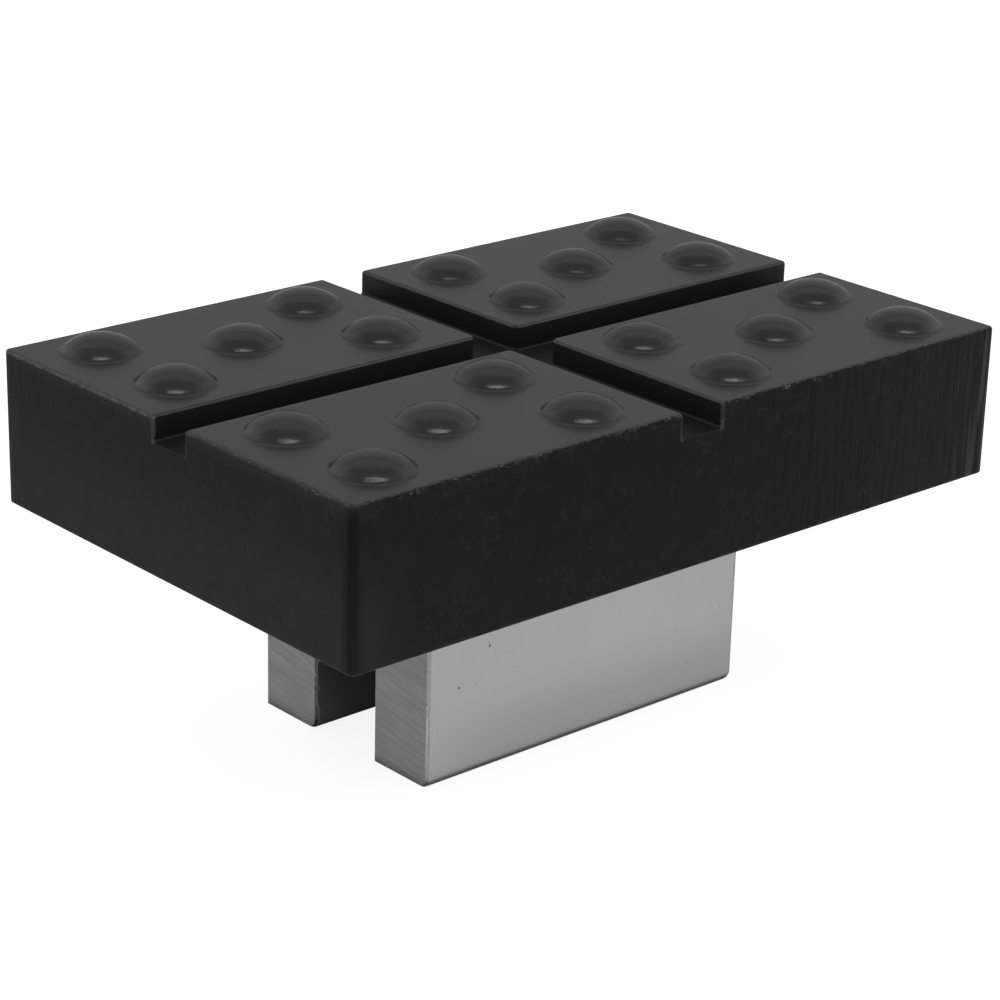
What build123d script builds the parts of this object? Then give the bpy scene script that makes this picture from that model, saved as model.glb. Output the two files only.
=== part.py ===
from build123d import *
import math
import os

# A rubber pad for the jacking beam of a vehicle lift, in millimetres.
# A moulded rubber block takes the load on four studded fields, parted by two crossing grooves.
# Two flat steel bars, set on edge and bonded into its underside, drop into the beam.
# X runs along the block, Y across it and Z up. The origin lies under the block's centre,
# level with the lower ends of the bars.

# Rubber block
pad_length = 160.0
pad_width = 103.0
pad_thickness = 30.5  # from the underside to the flat between the studs
pad_corner_radius = 0.8  # three of the upright corners
pad_worn_radius = 1.6  # the upright corner at the front left, which is rubbed rounder
field_edge_radius = 0.6  # round the top of each field
underside_edge_radius = 0.6

# Crossing grooves in the top
long_groove_width = 9.5  # the groove that runs along X
long_groove_offset = -0.5  # it lies a little in front of the middle
cross_groove_width = 10.0  # the groove that runs along Y
groove_depth = 5.0
groove_root_radius = 0.6  # between a groove's floor and its walls
groove_mouth_radius = 0.4  # upright edges where a groove runs out
crossing_corner_radius = 1.6  # upright edges where the grooves cross

# Studs, five to a field: one in its middle and four about it
stud_radius = 7.6  # where the shoulder arc reaches the flat
stud_height = 3.2
stud_crown_radius = 11.5  # the flatter arc over the top
stud_crown_reach = 5.0  # how far from the stud's axis that arc runs
stud_root_radius = 1.5  # fillet between a stud and the flat
stud_root_depth = 2.0  # how far the body of a stud reaches into the block
stud_spacing_x = 47.8  # between the outer studs of a field, along the block
stud_spacing_y = 23.6  # the same, across the block

# Steel bars, sawn from flat bar and set on edge
bar_length = 80.0
bar_thickness = 15.5
bar_showing = 43.5  # from the bar's lower face to the block's underside
bar_seat_depth = 6.5  # how far a bar is set into the rubber
bar_gap = 17.5  # the space between the two bars
bar_rolled_radius = 2.0  # the lower edge that faces the front
bar_corner_radius = 0.5  # the other long edges
bar_sawn_chamfer = 0.4  # round the sawn ends

flat_height = bar_showing + pad_thickness
groove_floor = flat_height - groove_depth


def groove(width, run):
    """What a groove along X takes away: a flat floor with rounded roots, open at the top and ends."""
    tall = 2 * (groove_depth + groove_root_radius)
    section = Plane.YZ * Pos(0, groove_floor + tall / 2) * RectangleRounded(width, tall, groove_root_radius)
    return extrude(section, amount=run, both=True)


def groove_corners(body, at_crossing):
    """The upright edges where the grooves cross, or else those where they run out of the block."""
    corners = []
    for edge in body.edges().filter_by(Axis.Z):
        place = edge.center()
        in_cross = abs(place.X) < cross_groove_width / 2 + pad_corner_radius
        in_long = abs(place.Y - long_groove_offset) < long_groove_width / 2 + pad_corner_radius
        wanted = (in_cross and in_long) if at_crossing else (in_cross != in_long)
        if place.Z > groove_floor and wanted:
            corners.append(edge)
    return corners


def block():
    """The rubber block with its grooves cut and its edges rounded, before its studs."""
    outline = FilletPolyline(
        (-pad_length / 2, -pad_width / 2),
        (pad_length / 2, -pad_width / 2),
        (pad_length / 2, pad_width / 2),
        (-pad_length / 2, pad_width / 2),
        radius=[pad_worn_radius, pad_corner_radius, pad_corner_radius, pad_corner_radius],
        close=True,
    )
    body = Pos(0, 0, bar_showing) * extrude(make_face(outline), amount=pad_thickness)
    body -= Pos(0, long_groove_offset) * groove(long_groove_width, pad_length)
    body -= Rot(0, 0, 90) * groove(cross_groove_width, pad_width)
    body = fillet(groove_corners(body, at_crossing=True), crossing_corner_radius)
    body = fillet(groove_corners(body, at_crossing=False), groove_mouth_radius)
    flats = body.faces().filter_by(Plane.XY).group_by(Axis.Z)
    field_tops = flats[-1]
    body = fillet(field_tops.edges(), field_edge_radius)
    underside = body.faces().filter_by(Plane.XY).sort_by(Axis.Z)[0]
    return fillet(underside.edges(), underside_edge_radius)


def stud():
    """One stud on the Z axis, its flat at Z = 0: a crown arc, then a tighter shoulder arc."""
    crown_sweep = math.degrees(math.asin(stud_crown_reach / stud_crown_radius))
    crown = CenterArc((0, stud_height - stud_crown_radius), stud_crown_radius, 90, -crown_sweep)
    shoulder = TangentArc(crown @ 1, (stud_radius, 0), tangent=crown % 1)
    foot = Polyline(shoulder @ 1, (stud_radius, -stud_root_depth), (0, -stud_root_depth), crown @ 0)
    return revolve(Plane.XZ * make_face([crown, shoulder, foot]), Axis.Z)


def stud_places():
    """Where the studs stand: on each of the four fields five, like the pips of a die."""
    quarters = [(side_x, side_y) for side_x in (-1, 1) for side_y in (-1, 1)]
    field_x = (pad_length + cross_groove_width) / 4
    field_y = (pad_width + long_groove_width) / 4
    pips = [(0, 0)] + [(x * stud_spacing_x / 2, y * stud_spacing_y / 2) for x, y in quarters]
    return [Pos(x * field_x + px, y * field_y + py, flat_height) for x, y in quarters for px, py in pips]


def flat_bar():
    """A steel bar over Y = 0, standing on Z = 0, with its rolled edge low at the front."""
    height = bar_showing + bar_seat_depth
    front = -bar_thickness / 2
    back = bar_thickness / 2
    section = FilletPolyline(
        (front, 0),
        (back, 0),
        (back, height),
        (front, height),
        radius=[bar_rolled_radius, bar_corner_radius, bar_corner_radius, bar_corner_radius],
        close=True,
    )
    bar = extrude(Plane.YZ * make_face(section), amount=bar_length / 2, both=True)
    sawn_ends = bar.faces().filter_by(Plane.YZ)
    return chamfer(sawn_ends.edges(), bar_sawn_chamfer)


def studded_block():
    """The block with all its studs, each blended into the flat by a small fillet."""
    body = block() + [place * stud() for place in stud_places()]
    feet = []
    for edge in body.edges().filter_by(GeomType.CIRCLE):
        on_flat = math.isclose(edge.center().Z, flat_height, abs_tol=1e-6)
        if on_flat and math.isclose(edge.radius, stud_radius, abs_tol=1e-6):
            feet.append(edge)
    return fillet(feet, stud_root_radius)


bar_offset = (bar_gap + bar_thickness) / 2
front_bar = Pos(0, -bar_offset) * flat_bar()
rear_bar = Pos(0, bar_offset) * flat_bar()
# The seats are the bars' own shape, because the rubber is bonded to them all over.
rubber_pad = studded_block() - front_bar - rear_bar

os.makedirs("parts", exist_ok=True)
export_step(rubber_pad, "parts/rubber_pad.step")
export_step(front_bar, "parts/front_bar.step")
export_step(rear_bar, "parts/rear_bar.step")
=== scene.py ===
import math

import bmesh
import bpy
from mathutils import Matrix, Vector, noise


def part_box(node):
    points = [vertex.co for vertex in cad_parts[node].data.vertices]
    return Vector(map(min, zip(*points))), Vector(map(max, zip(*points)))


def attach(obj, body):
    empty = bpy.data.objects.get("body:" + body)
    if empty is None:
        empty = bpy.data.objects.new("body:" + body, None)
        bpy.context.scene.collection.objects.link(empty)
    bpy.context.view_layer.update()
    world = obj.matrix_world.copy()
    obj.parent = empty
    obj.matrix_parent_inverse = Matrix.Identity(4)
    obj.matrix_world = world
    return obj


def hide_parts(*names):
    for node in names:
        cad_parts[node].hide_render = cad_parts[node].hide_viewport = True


# A jacking beam rubber pad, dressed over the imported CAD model. Lengths are in metres.
# X runs along the block, Y across it and Z up, with the bars standing on Z = 0.

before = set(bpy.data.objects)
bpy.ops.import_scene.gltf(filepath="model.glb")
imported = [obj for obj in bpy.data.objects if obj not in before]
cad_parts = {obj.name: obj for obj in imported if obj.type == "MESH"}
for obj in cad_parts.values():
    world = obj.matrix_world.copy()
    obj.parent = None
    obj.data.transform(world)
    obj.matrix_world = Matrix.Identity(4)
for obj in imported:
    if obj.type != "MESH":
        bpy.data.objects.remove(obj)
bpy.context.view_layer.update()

MM = 0.001

block_low, block_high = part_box("rubber_pad")
bar_low, bar_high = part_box("front_bar")
HALF_LENGTH = block_high.x
HALF_WIDTH = block_high.y
UNDERSIDE = block_low.z
FLAT = UNDERSIDE + 30.5 * MM  # the fields' flats, between the studs
CORNER_RADIUS = 0.8 * MM
GROOVE_DEPTH = 5.0 * MM
LONG_GROOVE_Y = -0.5 * MM
LONG_GROOVE_HALF = 4.75 * MM  # half its width
CROSS_GROOVE_HALF = 5.0 * MM

# Studs: a field has one in its middle and four round it
FIELD_X = 42.5 * MM  # from the pad's middle to a field's
FIELD_Y = 28.125 * MM
PIP_X = 23.9 * MM  # from a field's middle to its outer studs
PIP_Y = 11.8 * MM
STUD_HEIGHT = 3.2 * MM
STUD_RADIUS = 7.6 * MM
CROWN_RADIUS = 11.5 * MM
CROWN_REACH = 5.0 * MM  # how far from the stud's axis the crown runs
ROOT_RADIUS = 1.5 * MM

PITS = ((-32.5, 18.7), (-25.2, 25.3))  # the two largest on the front bar: X and Z in millimetres


# Shader helpers

class Nodes:
    """Short calls for the nodes of a tree. Its place is the point, or direction, that is shaded."""

    def __init__(self, tree, place):
        self.tree = tree
        self.place = self.node("ShaderNodeTexCoord").outputs[place]

    def node(self, kind, **settings):
        made = self.tree.nodes.new(kind)
        for key, value in settings.items():
            setattr(made, key, value)
        return made

    def feed(self, socket, value):
        if isinstance(value, bpy.types.NodeSocket):
            self.tree.links.new(value, socket)
        else:
            socket.default_value = value

    def math(self, operation, a, b=0.0):
        made = self.node("ShaderNodeMath", operation=operation)
        self.feed(made.inputs[0], a)
        self.feed(made.inputs[1], b)
        return made.outputs[0]

    def size(self, value):
        return self.math("ABSOLUTE", value)

    def product(self, *factors):
        total = factors[0]
        for factor in factors[1:]:
            total = self.math("MULTIPLY", total, factor)
        return total

    def axis(self, letter):
        parts = self.node("ShaderNodeSeparateXYZ")
        self.feed(parts.inputs[0], self.place)
        return parts.outputs[letter]

    def along(self, direction):
        """How far the place lies along a direction."""
        made = self.node("ShaderNodeVectorMath", operation="DOT_PRODUCT")
        self.feed(made.inputs[0], self.place)
        made.inputs[1].default_value = direction
        return made.outputs["Value"]

    def stretched(self, scale, turn=(0, 0, 0)):
        """The place, turned by these degrees and then scaled along each axis."""
        turned = self.node("ShaderNodeMapping")
        self.feed(turned.inputs["Vector"], self.place)
        turned.inputs["Rotation"].default_value = [math.radians(a) for a in turn]
        made = self.node("ShaderNodeMapping")
        self.feed(made.inputs["Vector"], turned.outputs[0])
        made.inputs["Scale"].default_value = scale
        return made.outputs[0]

    def spot(self, point, radius):
        """1 within this distance of a point, with a soft edge."""
        away = self.node("ShaderNodeVectorMath", operation="DISTANCE")
        self.feed(away.inputs[0], self.place)
        away.inputs[1].default_value = point
        return self.ramp(away.outputs["Value"], radius, 0.5 * radius)

    def noise(self, size, detail=3.0, rough=0.55, at=None):
        """Noise whose features are about this many metres across."""
        made = self.node("ShaderNodeTexNoise")
        self.feed(made.inputs["Vector"], self.place if at is None else at)
        made.inputs["Scale"].default_value = 1 / size
        made.inputs["Detail"].default_value = detail
        made.inputs["Roughness"].default_value = rough
        return made.outputs["Fac"]

    def specks(self, spacing, radius, at=None):
        """Small round spots, one to a cell of this spacing, each 1 in its middle."""
        made = self.node("ShaderNodeTexVoronoi")
        self.feed(made.inputs["Vector"], self.place if at is None else at)
        made.inputs["Scale"].default_value = 1 / spacing
        return self.ramp(made.outputs["Distance"], radius / spacing, 0.4 * radius / spacing)

    def ramp(self, value, low, high, to_low=0.0, to_high=1.0):
        """A smooth step from one result to the other as the value goes from low to high."""
        made = self.node("ShaderNodeMapRange", interpolation_type="SMOOTHSTEP")
        self.feed(made.inputs["Value"], value)
        made.inputs["From Min"].default_value = low
        made.inputs["From Max"].default_value = high
        self.feed(made.inputs["To Min"], to_low)
        self.feed(made.inputs["To Max"], to_high)
        return made.outputs[0]

    def mix(self, share, a, b):
        made = self.node("ShaderNodeMix", data_type="RGBA")
        self.feed(made.inputs[0], share)
        self.feed(made.inputs[6], a)
        self.feed(made.inputs[7], b)
        return made.outputs[2]

    def tint(self, colour, share, strength, value):
        """The colour, with up to this strength of a grey mixed in where the share is 1."""
        return self.mix(self.math("MULTIPLY", share, strength), colour, grey(value))

    def blend(self, share, a, b):
        made = self.node("ShaderNodeMix", data_type="FLOAT")
        self.feed(made.inputs[0], share)
        self.feed(made.inputs[2], a)
        self.feed(made.inputs[3], b)
        return made.outputs[0]

    def bump(self, height, distance, strength=1.0, below=None):
        made = self.node("ShaderNodeBump")
        self.feed(made.inputs["Height"], height)
        self.feed(made.inputs["Strength"], strength)
        made.inputs["Distance"].default_value = distance
        if below is not None:
            self.feed(made.inputs["Normal"], below)
        return made.outputs[0]


class Shader(Nodes):
    """A material with a Principled shader."""

    def __init__(self, name):
        self.material = bpy.data.materials.new(name)
        self.material.use_nodes = True
        super().__init__(self.material.node_tree, "Object")
        self.surface = self.tree.nodes["Principled BSDF"]

    def set(self, **values):
        for key, value in values.items():
            self.feed(self.surface.inputs[key.replace("_", " ")], value)


def grey(value):
    return (value, value, value, 1.0)


# Materials

def rim_flecks(s):
    """1 on the torn, paler skin along the block's upper rim: a thin line and clumps of flecks."""
    height = s.axis("Z")
    along = s.stretched((0.4, 0.4, 1))
    torn = s.ramp(s.noise(0.55 * MM, 3.0, 0.65, at=along), 0.52, 0.66)
    clumps = s.ramp(s.noise(9 * MM, 2.0), 0.42, 0.6)
    flecks = s.product(s.ramp(height, FLAT - 1.3 * MM, FLAT - 0.3 * MM), torn, clumps)
    left = s.ramp(s.axis("X"), 2 * MM - HALF_LENGTH, 0.9 * MM - HALF_LENGTH)
    broken = s.ramp(s.noise(1.8 * MM, 3.0), 0.38, 0.62, 0.3, 0.75)
    line = s.product(
        left,
        s.ramp(s.axis("Y"), -8 * MM, -2 * MM, 0.4, 1.0),
        s.ramp(height, FLAT - 0.8 * MM, FLAT - 0.62 * MM),
        s.ramp(height, FLAT - 0.08 * MM, FLAT - 0.25 * MM),
        broken,
    )
    handled = s.ramp(s.axis("X"), 48 * MM, 26 * MM, 0.25, 1.0)
    return s.math("MULTIPLY", handled, s.math("MAXIMUM", flecks, line))


def rubbed_rim(s):
    """1 in fine scratches on the top, within about 1.5 mm of the block's outline."""
    in_x = s.math("SUBTRACT", HALF_LENGTH, s.size(s.axis("X")))
    in_y = s.math("SUBTRACT", HALF_WIDTH, s.size(s.axis("Y")))
    near = s.ramp(s.math("MINIMUM", in_x, in_y), 1.9 * MM, 0.7 * MM)
    scratches = s.ramp(s.noise(0.35 * MM, 3.0, 0.6, at=s.stretched((0.3, 0.3, 1))), 0.5, 0.66)
    return s.product(near, scratches, s.ramp(s.noise(12 * MM, 2.0), 0.36, 0.56))


def groove_mouth_highlights(s):
    """1 where the grooves run out through the sides: a painted highlight on the upright edges there,
    where they catch the light.
    """
    high = s.ramp(s.axis("Z"), FLAT - GROOVE_DEPTH - 0.5 * MM, FLAT - GROOVE_DEPTH)
    from_long = s.size(s.math("SUBTRACT", s.axis("Y"), LONG_GROOVE_Y))
    long_edge = s.size(s.math("SUBTRACT", from_long, LONG_GROOVE_HALF))
    at_end = s.ramp(s.size(s.axis("X")), HALF_LENGTH - 0.9 * MM, HALF_LENGTH - 0.4 * MM)
    cross_edge = s.size(s.math("SUBTRACT", s.size(s.axis("X")), CROSS_GROOVE_HALF))
    at_side = s.ramp(s.size(s.axis("Y")), HALF_WIDTH - 0.9 * MM, HALF_WIDTH - 0.4 * MM)
    long_mouth = s.product(s.ramp(long_edge, 0.7 * MM, 0.15 * MM), at_end)
    cross_mouth = s.product(s.ramp(cross_edge, 0.7 * MM, 0.15 * MM), at_side)
    rough = s.ramp(s.noise(1.2 * MM, 3.0), 0.35, 0.6, 0.4, 1.0)
    return s.product(high, s.math("MAXIMUM", long_mouth, cross_mouth), rough)


def moulded_rubber():
    """The satin skin that the mould leaves on the fields and studs."""
    s = Shader("black_rubber_moulded")
    skin = s.noise(14 * MM, 4.0)
    dust = s.math("MULTIPLY", s.specks(4.5 * MM, 0.16 * MM), s.ramp(s.noise(11 * MM), 0.5, 0.7))
    colour = s.mix(skin, grey(0.019), grey(0.023))
    colour = s.tint(colour, dust, 0.5, 0.12)
    rubbed = rubbed_rim(s)
    colour = s.tint(colour, rubbed, 0.5, 0.075)
    s.set(Base_Color=colour, Specular_IOR_Level=0.37)
    # The studs are glossier than the flats round them.
    up_stud = s.ramp(s.axis("Z"), FLAT + 0.1 * MM, FLAT + 0.42 * MM)
    satin = s.blend(s.noise(6 * MM, 4.0), s.blend(up_stud, 0.23, 0.16), s.blend(up_stud, 0.27, 0.21))
    s.set(Roughness=s.blend(rubbed, satin, 0.4))
    s.set(Normal=s.bump(s.noise(2.4 * MM, 2.0), 0.005 * MM))
    return s.material


def groove_rubber():
    """The duller skin in the grooves, with painted shade that gets darker towards their floor."""
    s = Shader("black_rubber_grooves")
    upper = s.ramp(s.axis("Z"), FLAT - 4.5 * MM, FLAT - 0.8 * MM)
    mottle = s.noise(3.0 * MM, 4.0)
    # Painted shade: the colour is darker low in the grooves, down to their floor.
    colour = s.mix(upper, s.mix(mottle, grey(0.011), grey(0.013)), grey(0.017))
    dust = s.math("MULTIPLY", s.specks(3.8 * MM, 0.16 * MM), s.ramp(s.noise(9 * MM), 0.46, 0.6))
    s.set(Base_Color=s.tint(colour, dust, 0.5, 0.1), Specular_IOR_Level=0.15)
    s.set(Roughness=s.blend(upper, 0.42, 0.36), Normal=s.bump(mottle, 0.015 * MM))
    return s.material


def side_rubber():
    """The duller, scuffed skin of the block's four sides, with fine upright tool marks."""
    s = Shader("black_rubber_sides")
    lines = s.noise(1.6 * MM, 2.0, at=s.stretched((1, 1, 0.14)))
    ridges = s.noise(1.7 * MM, 2.0, at=s.stretched((1, 1, 0.05)))
    mottle = s.noise(2.4 * MM, 5.0, 0.62)
    blotches = s.noise(7 * MM, 5.0, 0.68)
    at_front = s.ramp(s.axis("Y"), 5 * MM - HALF_WIDTH, 1 * MM - HALF_WIDTH, 0.35, 1.0)
    towards_ends = s.math(
        "MAXIMUM",
        s.product(s.ramp(s.axis("X"), 66 * MM, 77 * MM), at_front),
        s.ramp(s.axis("Y"), 44 * MM, 51 * MM, 0.0, 0.3),
    )
    outward = s.math(
        "MAXIMUM",
        s.ramp(s.axis("X"), 10 * MM, 78 * MM),
        s.ramp(s.axis("Y"), -20 * MM, 50 * MM),
    )
    colour = s.mix(s.ramp(mottle, 0.35, 0.75), grey(0.004), grey(0.01))
    colour = s.tint(colour, outward, 0.25, 0.02)
    colour = s.mix(s.ramp(blotches, 0.5, 0.62, 0.0, 0.16), colour, grey(0.022))
    streaks = s.math("MULTIPLY", s.ramp(ridges, 0.46, 0.66), towards_ends)
    colour = s.tint(colour, streaks, 0.85, 0.068)
    # The long sides are darker in their middle.
    calm = s.product(s.ramp(s.axis("X"), -68 * MM, -30 * MM), s.ramp(s.axis("X"), 56 * MM, 20 * MM))
    colour = s.tint(colour, calm, 0.6, 0.001)
    torn = s.product(
        s.ramp(s.noise(1.0 * MM, 3.0, 0.65), 0.5, 0.62),
        s.ramp(s.axis("Z"), FLAT - 3.6 * MM, FLAT - 0.9 * MM),
        s.ramp(s.axis("X"), 12 * MM, -8 * MM),
    )
    colour = s.tint(colour, torn, 0.4, 0.032)
    scuffs = s.ramp(s.noise(1.8 * MM, 5.0, 0.72), 0.52, 0.7)
    scuffs = s.math("MULTIPLY", scuffs, s.ramp(s.noise(12 * MM), 0.4, 0.6))
    colour = s.tint(colour, scuffs, 0.44, 0.034)
    dots = s.math("MULTIPLY", s.specks(4.5 * MM, 0.2 * MM), s.ramp(s.noise(8 * MM), 0.5, 0.62))
    colour = s.tint(colour, dots, 0.4, 0.1)
    # The left end: paler low down, painted shade beside its near upright edge, and paler under its rim.
    corner = s.product(
        s.ramp(s.axis("X"), -66 * MM, -78 * MM),
        s.ramp(s.axis("Z"), UNDERSIDE + 24 * MM, UNDERSIDE + 8 * MM),
    )
    colour = s.tint(colour, corner, 0.7, 0.024)
    left = s.ramp(s.axis("X"), 3 * MM - HALF_LENGTH, 1 * MM - HALF_LENGTH)
    # Painted shade in a band beside the left end's near upright edge, where a rounder corner would turn
    # from the light.
    painted_corner_shade = s.product(
        left,
        s.ramp(s.axis("Y"), 3.2 * MM - HALF_WIDTH, 2.2 * MM - HALF_WIDTH),
        s.ramp(s.axis("Y"), 0.4 * MM - HALF_WIDTH, 1.0 * MM - HALF_WIDTH, 0.5, 1.0),
    )
    colour = s.tint(colour, painted_corner_shade, 0.8, 0.001)
    upper = s.product(left, s.ramp(s.axis("Z"), FLAT - 3.0 * MM, FLAT - 0.8 * MM))
    colour = s.tint(colour, upper, 0.3, 0.04)
    # The other upright edges and the upper rim are rubbed pale, the groove mouths carry a painted
    # highlight, and the lower rim is paler, partly flash and partly painted highlight.
    corners = s.math(
        "MAXIMUM",
        s.product(left, s.ramp(s.axis("Y"), HALF_WIDTH - 2.0 * MM, HALF_WIDTH - 0.4 * MM)),
        s.ramp(s.axis("X"), HALF_LENGTH - 1.6 * MM, HALF_LENGTH - 0.2 * MM),
    )
    colour = s.tint(colour, corners, 0.5, 0.07)
    # Painted highlight on the groove mouths' upright edges.
    colour = s.tint(colour, groove_mouth_highlights(s), 0.85, 0.1)
    # The lower rim is paler: partly flash, partly a painted highlight where the edge catches light from
    # the floor.
    low_rim = s.ramp(s.axis("Z"), UNDERSIDE + 1.2 * MM, UNDERSIDE + 0.7 * MM)
    low_rim = s.math("MULTIPLY", low_rim, s.ramp(s.noise(1.5 * MM, 3.0), 0.4, 0.6))
    colour = s.tint(colour, low_rim, 0.5, 0.035)
    colour = s.tint(colour, rim_flecks(s), 0.85, 0.16)
    s.set(Base_Color=colour, Specular_IOR_Level=0.155)
    s.set(Roughness=s.blend(mottle, 0.45, 0.7))
    marks = s.product(s.ramp(s.axis("X"), -5 * MM, 45 * MM, 0.08, 1.0), s.blend(at_front, 0.3, 1.0))
    ground = s.bump(lines, 0.32 * MM, strength=marks)
    ground = s.bump(ridges, 0.3 * MM, strength=towards_ends, below=ground)
    s.set(Normal=s.bump(mottle, 0.09 * MM, below=ground))
    return s.material


def drawn_steel():
    """The bars' bright drawn flats."""
    s = Shader("bar_steel_drawn")
    along = s.stretched((0.02, 1, 1))
    upright = s.stretched((1, 1, 0.05))
    grain = s.noise(0.35 * MM, 2.0, at=along)
    chatter = s.noise(1.1 * MM, 2.0, at=upright)
    cloud = s.noise(22 * MM, 3.0)
    colour = s.mix(cloud, grey(0.455), grey(0.52))
    colour = s.mix(s.ramp(chatter, 0.4, 0.7, 0.0, 0.12), colour, grey(0.42))
    # Painted reflection: darker low down on the bars' middle and right, where they would mirror the
    # block's shadow on the floor.
    painted_shadow_reflection = s.product(
        s.ramp(s.axis("X"), -44 * MM, -16 * MM),
        s.ramp(s.axis("X"), 44 * MM, 30 * MM, 0.7, 1.0),
        s.ramp(s.axis("Z"), 18 * MM, 5 * MM),
    )
    colour = s.tint(colour, painted_shadow_reflection, 0.25, 0.2)
    pits = s.math("MULTIPLY", s.specks(2.6 * MM, 0.19 * MM), s.ramp(s.noise(13 * MM), 0.44, 0.54))
    for x, z in PITS:
        pits = s.math("MAXIMUM", pits, s.spot((x * MM, bar_low.y, z * MM), 0.4 * MM))
    colour = s.tint(colour, pits, 0.75, 0.05)
    s.set(Base_Color=colour, Metallic=1.0)
    s.set(Roughness=s.blend(cloud, 0.34, 0.44))
    s.set(Normal=s.bump(chatter, 0.003 * MM, below=s.bump(grain, 0.006 * MM)))
    return s.material


def sawn_steel():
    """The bars' ends, with the saw's slanting marks."""
    s = Shader("bar_steel_sawn")
    turned = s.stretched((1, 0.06, 1), turn=(-8, 0, 0))
    cuts = s.noise(0.8 * MM, 2.0, at=turned)
    ridges = s.ramp(s.noise(1.0 * MM, 1.0, at=turned), 0.54, 0.64)
    cloud = s.noise(6 * MM, 3.0)
    colour = s.mix(s.ramp(cuts, 0.3, 0.7), grey(0.232), grey(0.3))
    colour = s.tint(colour, ridges, 0.45, 0.35)
    colour = s.mix(s.ramp(cloud, 0.35, 0.65, 0.0, 0.5), colour, grey(0.225))
    grit = s.ramp(s.noise(0.45 * MM, 2.0), 0.4, 0.65)
    colour = s.tint(colour, grit, 0.3, 0.32)
    s.set(Base_Color=colour, Metallic=1.0, Roughness=0.5)
    s.set(Normal=s.bump(cuts, 0.012 * MM))
    return s.material


def burr_steel():
    """The bright, ragged edge that the saw leaves round the bars' ends."""
    s = Shader("bar_steel_burr")
    ragged = s.ramp(s.noise(0.6 * MM, 3.0), 0.35, 0.62)
    colour = s.mix(ragged, grey(0.33), grey(0.42))
    colour = s.mix(s.ramp(s.axis("Y"), -5 * MM, 5 * MM), colour, grey(0.12))
    s.set(Base_Color=colour, Metallic=1.0, Roughness=0.42)
    return s.material


# Meshes

def welded_copy(node):
    """A node's solid as a fresh bmesh, joined up where its faces meet."""
    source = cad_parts[node].data
    shape = bmesh.new()
    points = [shape.verts.new(v.co) for v in source.vertices]
    for polygon in source.polygons:
        shape.faces.new([points[i] for i in polygon.vertices])
    bmesh.ops.remove_doubles(shape, verts=shape.verts, dist=0.001 * MM)
    return shape


def steps(low, high, pitch):
    count = max(1, round((high - low) / pitch))
    return [low + (high - low) * i / count for i in range(count + 1)]


def slice_up(shape, axis, places, wanted=None):
    """Cuts the faces whose middle is wanted across an axis at these places."""
    faces = [f for f in shape.faces if wanted is None or wanted(f.calc_center_median())]
    geometry = set(faces)
    for face in faces:
        geometry.update(face.verts)
        geometry.update(face.edges)
    geometry = list(geometry)
    across = Vector([float(i == axis) for i in range(3)])
    for place in places:
        cut = bmesh.ops.bisect_plane(
            shape, geom=geometry, dist=0.0005 * MM, plane_co=across * place, plane_no=across
        )
        geometry = cut["geom"]


def smoothed(shape, sharp_angle):
    """Shades faces smoothly up to this angle, in degrees."""
    for face in shape.faces:
        face.smooth = True
    for edge in shape.edges:
        edge.smooth = len(edge.link_faces) == 2 and edge.calc_face_angle(0.0) < math.radians(sharp_angle)


def dressed(shape, name, node, materials, pick):
    """Makes the object that stands for a node, each face with the material that pick() gives."""
    bmesh.ops.triangulate(shape, faces=[f for f in shape.faces if len(f.verts) > 4])
    shape.normal_update()
    for face in shape.faces:
        face.material_index = pick(face)
    smoothed(shape, 40)
    mesh = bpy.data.meshes.new(name)
    shape.to_mesh(mesh)
    shape.free()
    for material in materials:
        mesh.materials.append(material)
    made = bpy.data.objects.new(name, mesh)
    bpy.context.scene.collection.objects.link(made)
    made.modifiers.new("even_normals", "WEIGHTED_NORMAL").keep_sharp = True
    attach(made, "root")
    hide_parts(node)
    return made


def inset(point):
    """How far inside the block's rounded outline a point lies, seen from above."""
    past_x = abs(point.x) - (HALF_LENGTH - CORNER_RADIUS)
    past_y = abs(point.y) - (HALF_WIDTH - CORNER_RADIUS)
    if past_x > 0 and past_y > 0:
        return CORNER_RADIUS - math.hypot(past_x, past_y)
    return CORNER_RADIUS - max(past_x, past_y)


def stud_profile():
    """A stud's height above the flat, as a function of the distance from its axis, and its reach."""
    slope = math.asin(CROWN_REACH / CROWN_RADIUS)
    drop = STUD_HEIGHT - CROWN_RADIUS + CROWN_RADIUS * math.cos(slope)
    chord = math.hypot(STUD_RADIUS - CROWN_REACH, drop)
    turn = math.atan2(drop, STUD_RADIUS - CROWN_REACH) - slope
    shoulder = chord / (2 * math.sin(turn))
    middle_r = CROWN_REACH - shoulder * math.sin(slope)
    middle_z = drop - shoulder * math.cos(slope)
    reach = middle_r + math.sqrt((shoulder + ROOT_RADIUS) ** 2 - (ROOT_RADIUS - middle_z) ** 2)
    join = middle_r + (reach - middle_r) * shoulder / (shoulder + ROOT_RADIUS)

    def height(r):
        if r <= CROWN_REACH:
            return STUD_HEIGHT - CROWN_RADIUS + math.sqrt(CROWN_RADIUS ** 2 - r * r)
        if r <= join:
            return middle_z + math.sqrt(shoulder ** 2 - (r - middle_r) ** 2)
        if r < reach:
            return ROOT_RADIUS - math.sqrt(ROOT_RADIUS ** 2 - (reach - r) ** 2)
        return 0.0

    return height, reach


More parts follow.
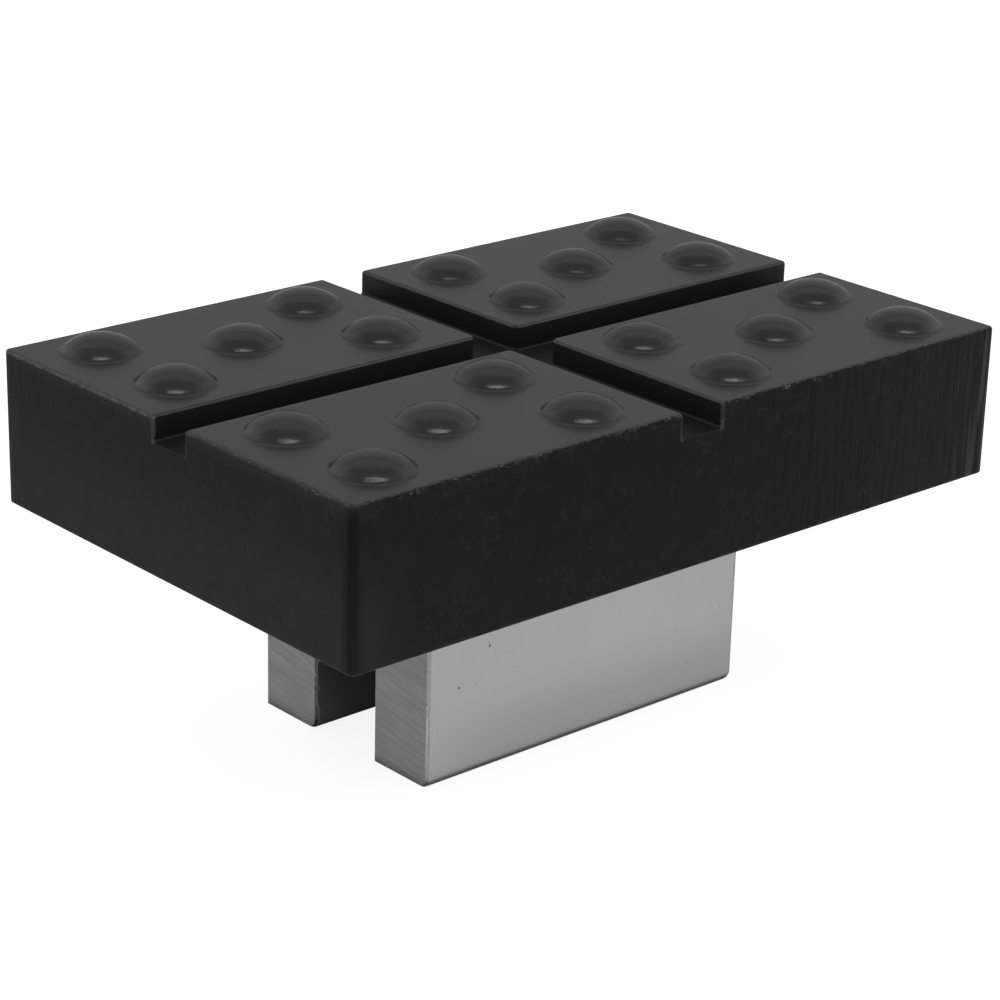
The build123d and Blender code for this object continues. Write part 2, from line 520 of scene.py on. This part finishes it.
def refine_studs(shape):
    """Adds rings to the studs' shoulders and roots, and lays them on the true profile."""
    height, reach = stud_profile()

    def from_axis(point):
        """The distance from the nearest stud's axis."""
        x = abs(point.x) - FIELD_X
        y = abs(point.y) - FIELD_Y
        return min(math.hypot(x, y), math.hypot(abs(x) - PIP_X, abs(y) - PIP_Y))

    radius = {}
    for vert in shape.verts:
        if vert.co.z > FLAT - 0.005 * MM:
            r = from_axis(vert.co)
            if CROWN_REACH - 0.1 * MM < r < reach + 0.02 * MM:
                radius[vert] = r
    across = []
    for edge in shape.edges:
        a, b = edge.verts
        if a in radius and b in radius and abs(radius[a] - radius[b]) > 0.1 * MM:
            across.append(edge)
    made = bmesh.ops.subdivide_edges(shape, edges=across, cuts=2, use_grid_fill=True)
    for part in made["geom_inner"]:
        if isinstance(part, bmesh.types.BMVert):
            part.co.z = FLAT + height(from_axis(part.co))


def rubber_block():
    """The block: a fine strip round its upper rim is worn and nicked, the rest is as moulded."""
    shape = welded_copy("rubber_pad")
    rim = 2.4 * MM
    for axis, half in ((0, HALF_LENGTH), (1, HALF_WIDTH)):
        slice_up(shape, axis, [side * (half - rim) for side in (-1, 1)])
    slice_up(shape, 2, [FLAT - rim])

    def in_rim(point):
        return inset(point) < rim and point.z > FLAT - rim

    for inner in (0.6, 1.0, 1.6):
        slice_up(shape, 2, [FLAT - inner * MM], in_rim)
        slice_up(shape, 0, [side * (HALF_LENGTH - inner * MM) for side in (-1, 1)], in_rim)
        slice_up(shape, 1, [side * (HALF_WIDTH - inner * MM) for side in (-1, 1)], in_rim)
    slice_up(shape, 0, steps(-HALF_LENGTH + rim, HALF_LENGTH - rim, 0.5 * MM), in_rim)
    slice_up(shape, 1, steps(-HALF_WIDTH + rim, HALF_WIDTH - rim, 0.5 * MM), in_rim)
    refine_studs(shape)
    shape.normal_update()
    worn = []
    for vert in shape.verts:
        if not in_rim(vert.co):
            continue
        reach = math.hypot(max(inset(vert.co), 0.0), FLAT - vert.co.z)
        hold = max(0.0, 1 - reach / (1.9 * MM))
        if max(vert.co.x - HALF_LENGTH, vert.co.y - HALF_WIDTH) > -rim:
            hold *= 0.45  # the right and rear rims are less worn
        place = vert.co / MM
        wave = max(0.0, 0.5 + noise.noise(place * 0.15))
        nick = max(0.0, noise.noise(place * 0.8) - 0.15) + max(0.0, noise.noise(place * 1.7) - 0.2)
        depth = hold * hold * (0.04 * wave + 0.35 * nick) * MM
        worn.append((vert, vert.normal * -depth))
    for vert, shift in worn:
        vert.co += shift

    def pick(face):
        middle = face.calc_center_median()
        if inset(middle) < 0.75 * MM and abs(face.normal.z) < 0.7:
            return 1
        return 2 if middle.z < FLAT - 0.7 * MM else 0

    rubbers = [moulded_rubber(), side_rubber(), groove_rubber()]
    return dressed(shape, "rubber_block", "rubber_pad", rubbers, pick)


def flat_bar(name, node, steel, burr):
    """A bar whose sawn rims are slightly uneven, with a burr about this wide round them."""
    shape = welded_copy(node)
    low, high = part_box(node)
    end = low.x, high.x
    band = 1.2 * MM

    def at_end(point):
        return min(point.x - end[0], end[1] - point.x) < band

    slice_up(shape, 0, [end[0] + band, end[1] - band])
    slice_up(shape, 2, steps(low.z, high.z, 0.6 * MM), at_end)
    slice_up(shape, 1, steps(low.y, high.y, 0.6 * MM), at_end)
    shape.normal_update()
    for vert in shape.verts:
        from_end = min(vert.co.x - end[0], end[1] - vert.co.x)
        if 0.02 * MM < from_end < 0.45 * MM:
            ragged = max(0.0, 0.35 + noise.noise(vert.co / MM * 0.8))
            vert.co -= vert.normal * 0.12 * MM * ragged
            vert.co.x -= math.copysign(burr * (0.8 + 0.4 * ragged), vert.co.x)

    def pick(face):
        if abs(face.normal.x) > 0.9:
            return 1
        return 2 if abs(face.normal.x) > 0.2 else 0

    return dressed(shape, name, node, steel, pick)


rubber_block()
steels = [drawn_steel(), sawn_steel(), burr_steel()]
flat_bar("front_flat_bar", "front_bar", steels, burr=0.25 * MM)
flat_bar("rear_flat_bar", "rear_bar", steels, burr=0.1 * MM)


# Camera

view = bpy.data.cameras.new("view")
view.sensor_width = 36.0
view.lens = 108.348
view.clip_start = 0.01
view.clip_end = 20.0
camera = bpy.data.objects.new("camera", view)
bpy.context.scene.collection.objects.link(camera)
camera.location = (-0.3656, -0.40433, 0.24866)
camera.rotation_euler = [math.radians(a) for a in (69.1219, -1.4335, -41.4314)]
bpy.context.scene.camera = camera

# Level directions: from the block to the camera, and to the picture's right
TOWARDS_CAMERA = Vector((-0.6688, -0.7434, 0.0))
ACROSS = Vector((0.7434, -0.6688, 0.0))


# Light and backdrop

def lamp(name, bearing, elevation, distance, wide, tall, radiance, aside=0.0):
    """An oval soft box over the block, aimed at it and then moved aside.

    Its bearing is degrees to the right of the camera, seen from the block.
    """
    turn = math.radians(bearing)
    rise = math.radians(elevation)
    level = TOWARDS_CAMERA * math.cos(turn) + ACROSS * math.sin(turn)
    spot = level * math.cos(rise) * distance + Vector((0, 0, math.sin(rise) * distance))
    data = bpy.data.lights.new(name, "AREA")
    data.shape = "ELLIPSE"
    data.size = wide
    data.size_y = tall
    data.energy = radiance * wide * tall * math.pi / 4 * math.pi
    made = bpy.data.objects.new(name, data)
    made.location = spot + ACROSS * aside + Vector((0, 0, FLAT))
    made.rotation_euler = (-spot).to_track_quat("-Z", "Y").to_euler()
    bpy.context.scene.collection.objects.link(made)


lamp("top_strip", 0, 73.3, 2.6, 2.8, 0.085, 19, aside=0.72)
lamp("left_strip", -88, 38, 1.3, 0.5, 0.14, 3.2)
lamp("right_strip", 88, 38, 1.3, 0.5, 0.14, 3.2)

# What the block's gloss sees straight ahead: radiance by the angle, in degrees, up from the far
# horizon, over the top and down to the near one.
ROOM = (
    (0, 0.26), (17, 0.39), (21, 0.4), (24, 0.4), (41, 0.52), (44, 0.38),
    (48, 0.4), (51, 0.64), (60, 0.68), (70, 0.44), (180, 0.42),
)
SIDE_GLOW = 0.5  # added towards the left and right


def world_light():
    """White to the camera. Everything else sees the room."""
    world = bpy.data.worlds.new("studio")
    bpy.context.scene.world = world
    world.use_nodes = True
    world.node_tree.nodes.clear()
    w = Nodes(world.node_tree, "Generated")
    angle = w.math("ARCTAN2", w.axis("Z"), w.along(-TOWARDS_CAMERA))
    room = w.node("ShaderNodeValToRGB")
    w.feed(room.inputs[0], w.math("DIVIDE", angle, math.pi))
    stops = room.color_ramp.elements
    while len(stops) < len(ROOM):
        stops.new(0.5)
    for stop, (degrees, radiance) in zip(stops, ROOM):
        stop.position = degrees / 180
        stop.color = grey(radiance)
    glow = w.ramp(w.size(w.along(ACROSS)), 0.4, 0.85, 0.0, SIDE_GLOW)
    total = w.node("ShaderNodeVectorMath", operation="ADD")
    w.feed(total.inputs[0], room.outputs[0])
    w.feed(total.inputs[1], glow)
    lit = w.node("ShaderNodeBackground")
    w.feed(lit.inputs["Color"], total.outputs[0])
    seen = w.node("ShaderNodeBackground")
    w.feed(seen.inputs["Color"], grey(1.0))
    pick = w.node("ShaderNodeMixShader")
    w.feed(pick.inputs[0], w.node("ShaderNodeLightPath").outputs["Is Camera Ray"])
    w.feed(pick.inputs[1], lit.outputs[0])
    w.feed(pick.inputs[2], seen.outputs[0])
    w.feed(w.node("ShaderNodeOutputWorld").inputs[0], pick.outputs[0])


world_light()


def floor():
    """A pale paper floor. It is white to the camera, apart from the shadow on it."""
    mesh = bpy.data.meshes.new("floor")
    half = 3.0
    corners = [(-half, -half, 0), (half, -half, 0), (half, half, 0), (-half, half, 0)]
    mesh.from_pydata(corners, [], [(0, 1, 2, 3)])
    made = bpy.data.objects.new("floor", mesh)
    bpy.context.scene.collection.objects.link(made)
    s = Shader("floor_paper")
    s.set(Base_Color=grey(0.4), Roughness=0.9, Specular_IOR_Level=0.0, Emission_Color=grey(1.0))
    path = s.node("ShaderNodeLightPath")
    # What the bars mirror: the paper glows round the object, but not under it, and less behind it.
    past_ends = s.math("SUBTRACT", s.size(s.axis("X")), bar_high.x)
    past_sides = s.math("SUBTRACT", s.size(s.axis("Y")), -bar_low.y)
    lit = s.ramp(s.math("MAXIMUM", past_ends, past_sides), -0.5 * MM, 4 * MM)
    away = s.node("ShaderNodeVectorMath", operation="LENGTH")
    s.feed(away.inputs[0], s.place)
    pool = s.ramp(away.outputs["Value"], 120 * MM, 220 * MM, 0.568, 0.3)
    near_side = s.ramp(s.along(TOWARDS_CAMERA), -60 * MM, 10 * MM, 0.7, 1.0)
    glow = s.product(path.outputs["Is Glossy Ray"], lit, pool, near_side)
    s.set(Emission_Strength=s.blend(path.outputs["Is Camera Ray"], glow, 0.87))
    mesh.materials.append(s.material)


floor()

bpy.context.scene.view_settings.view_transform = "Standard"
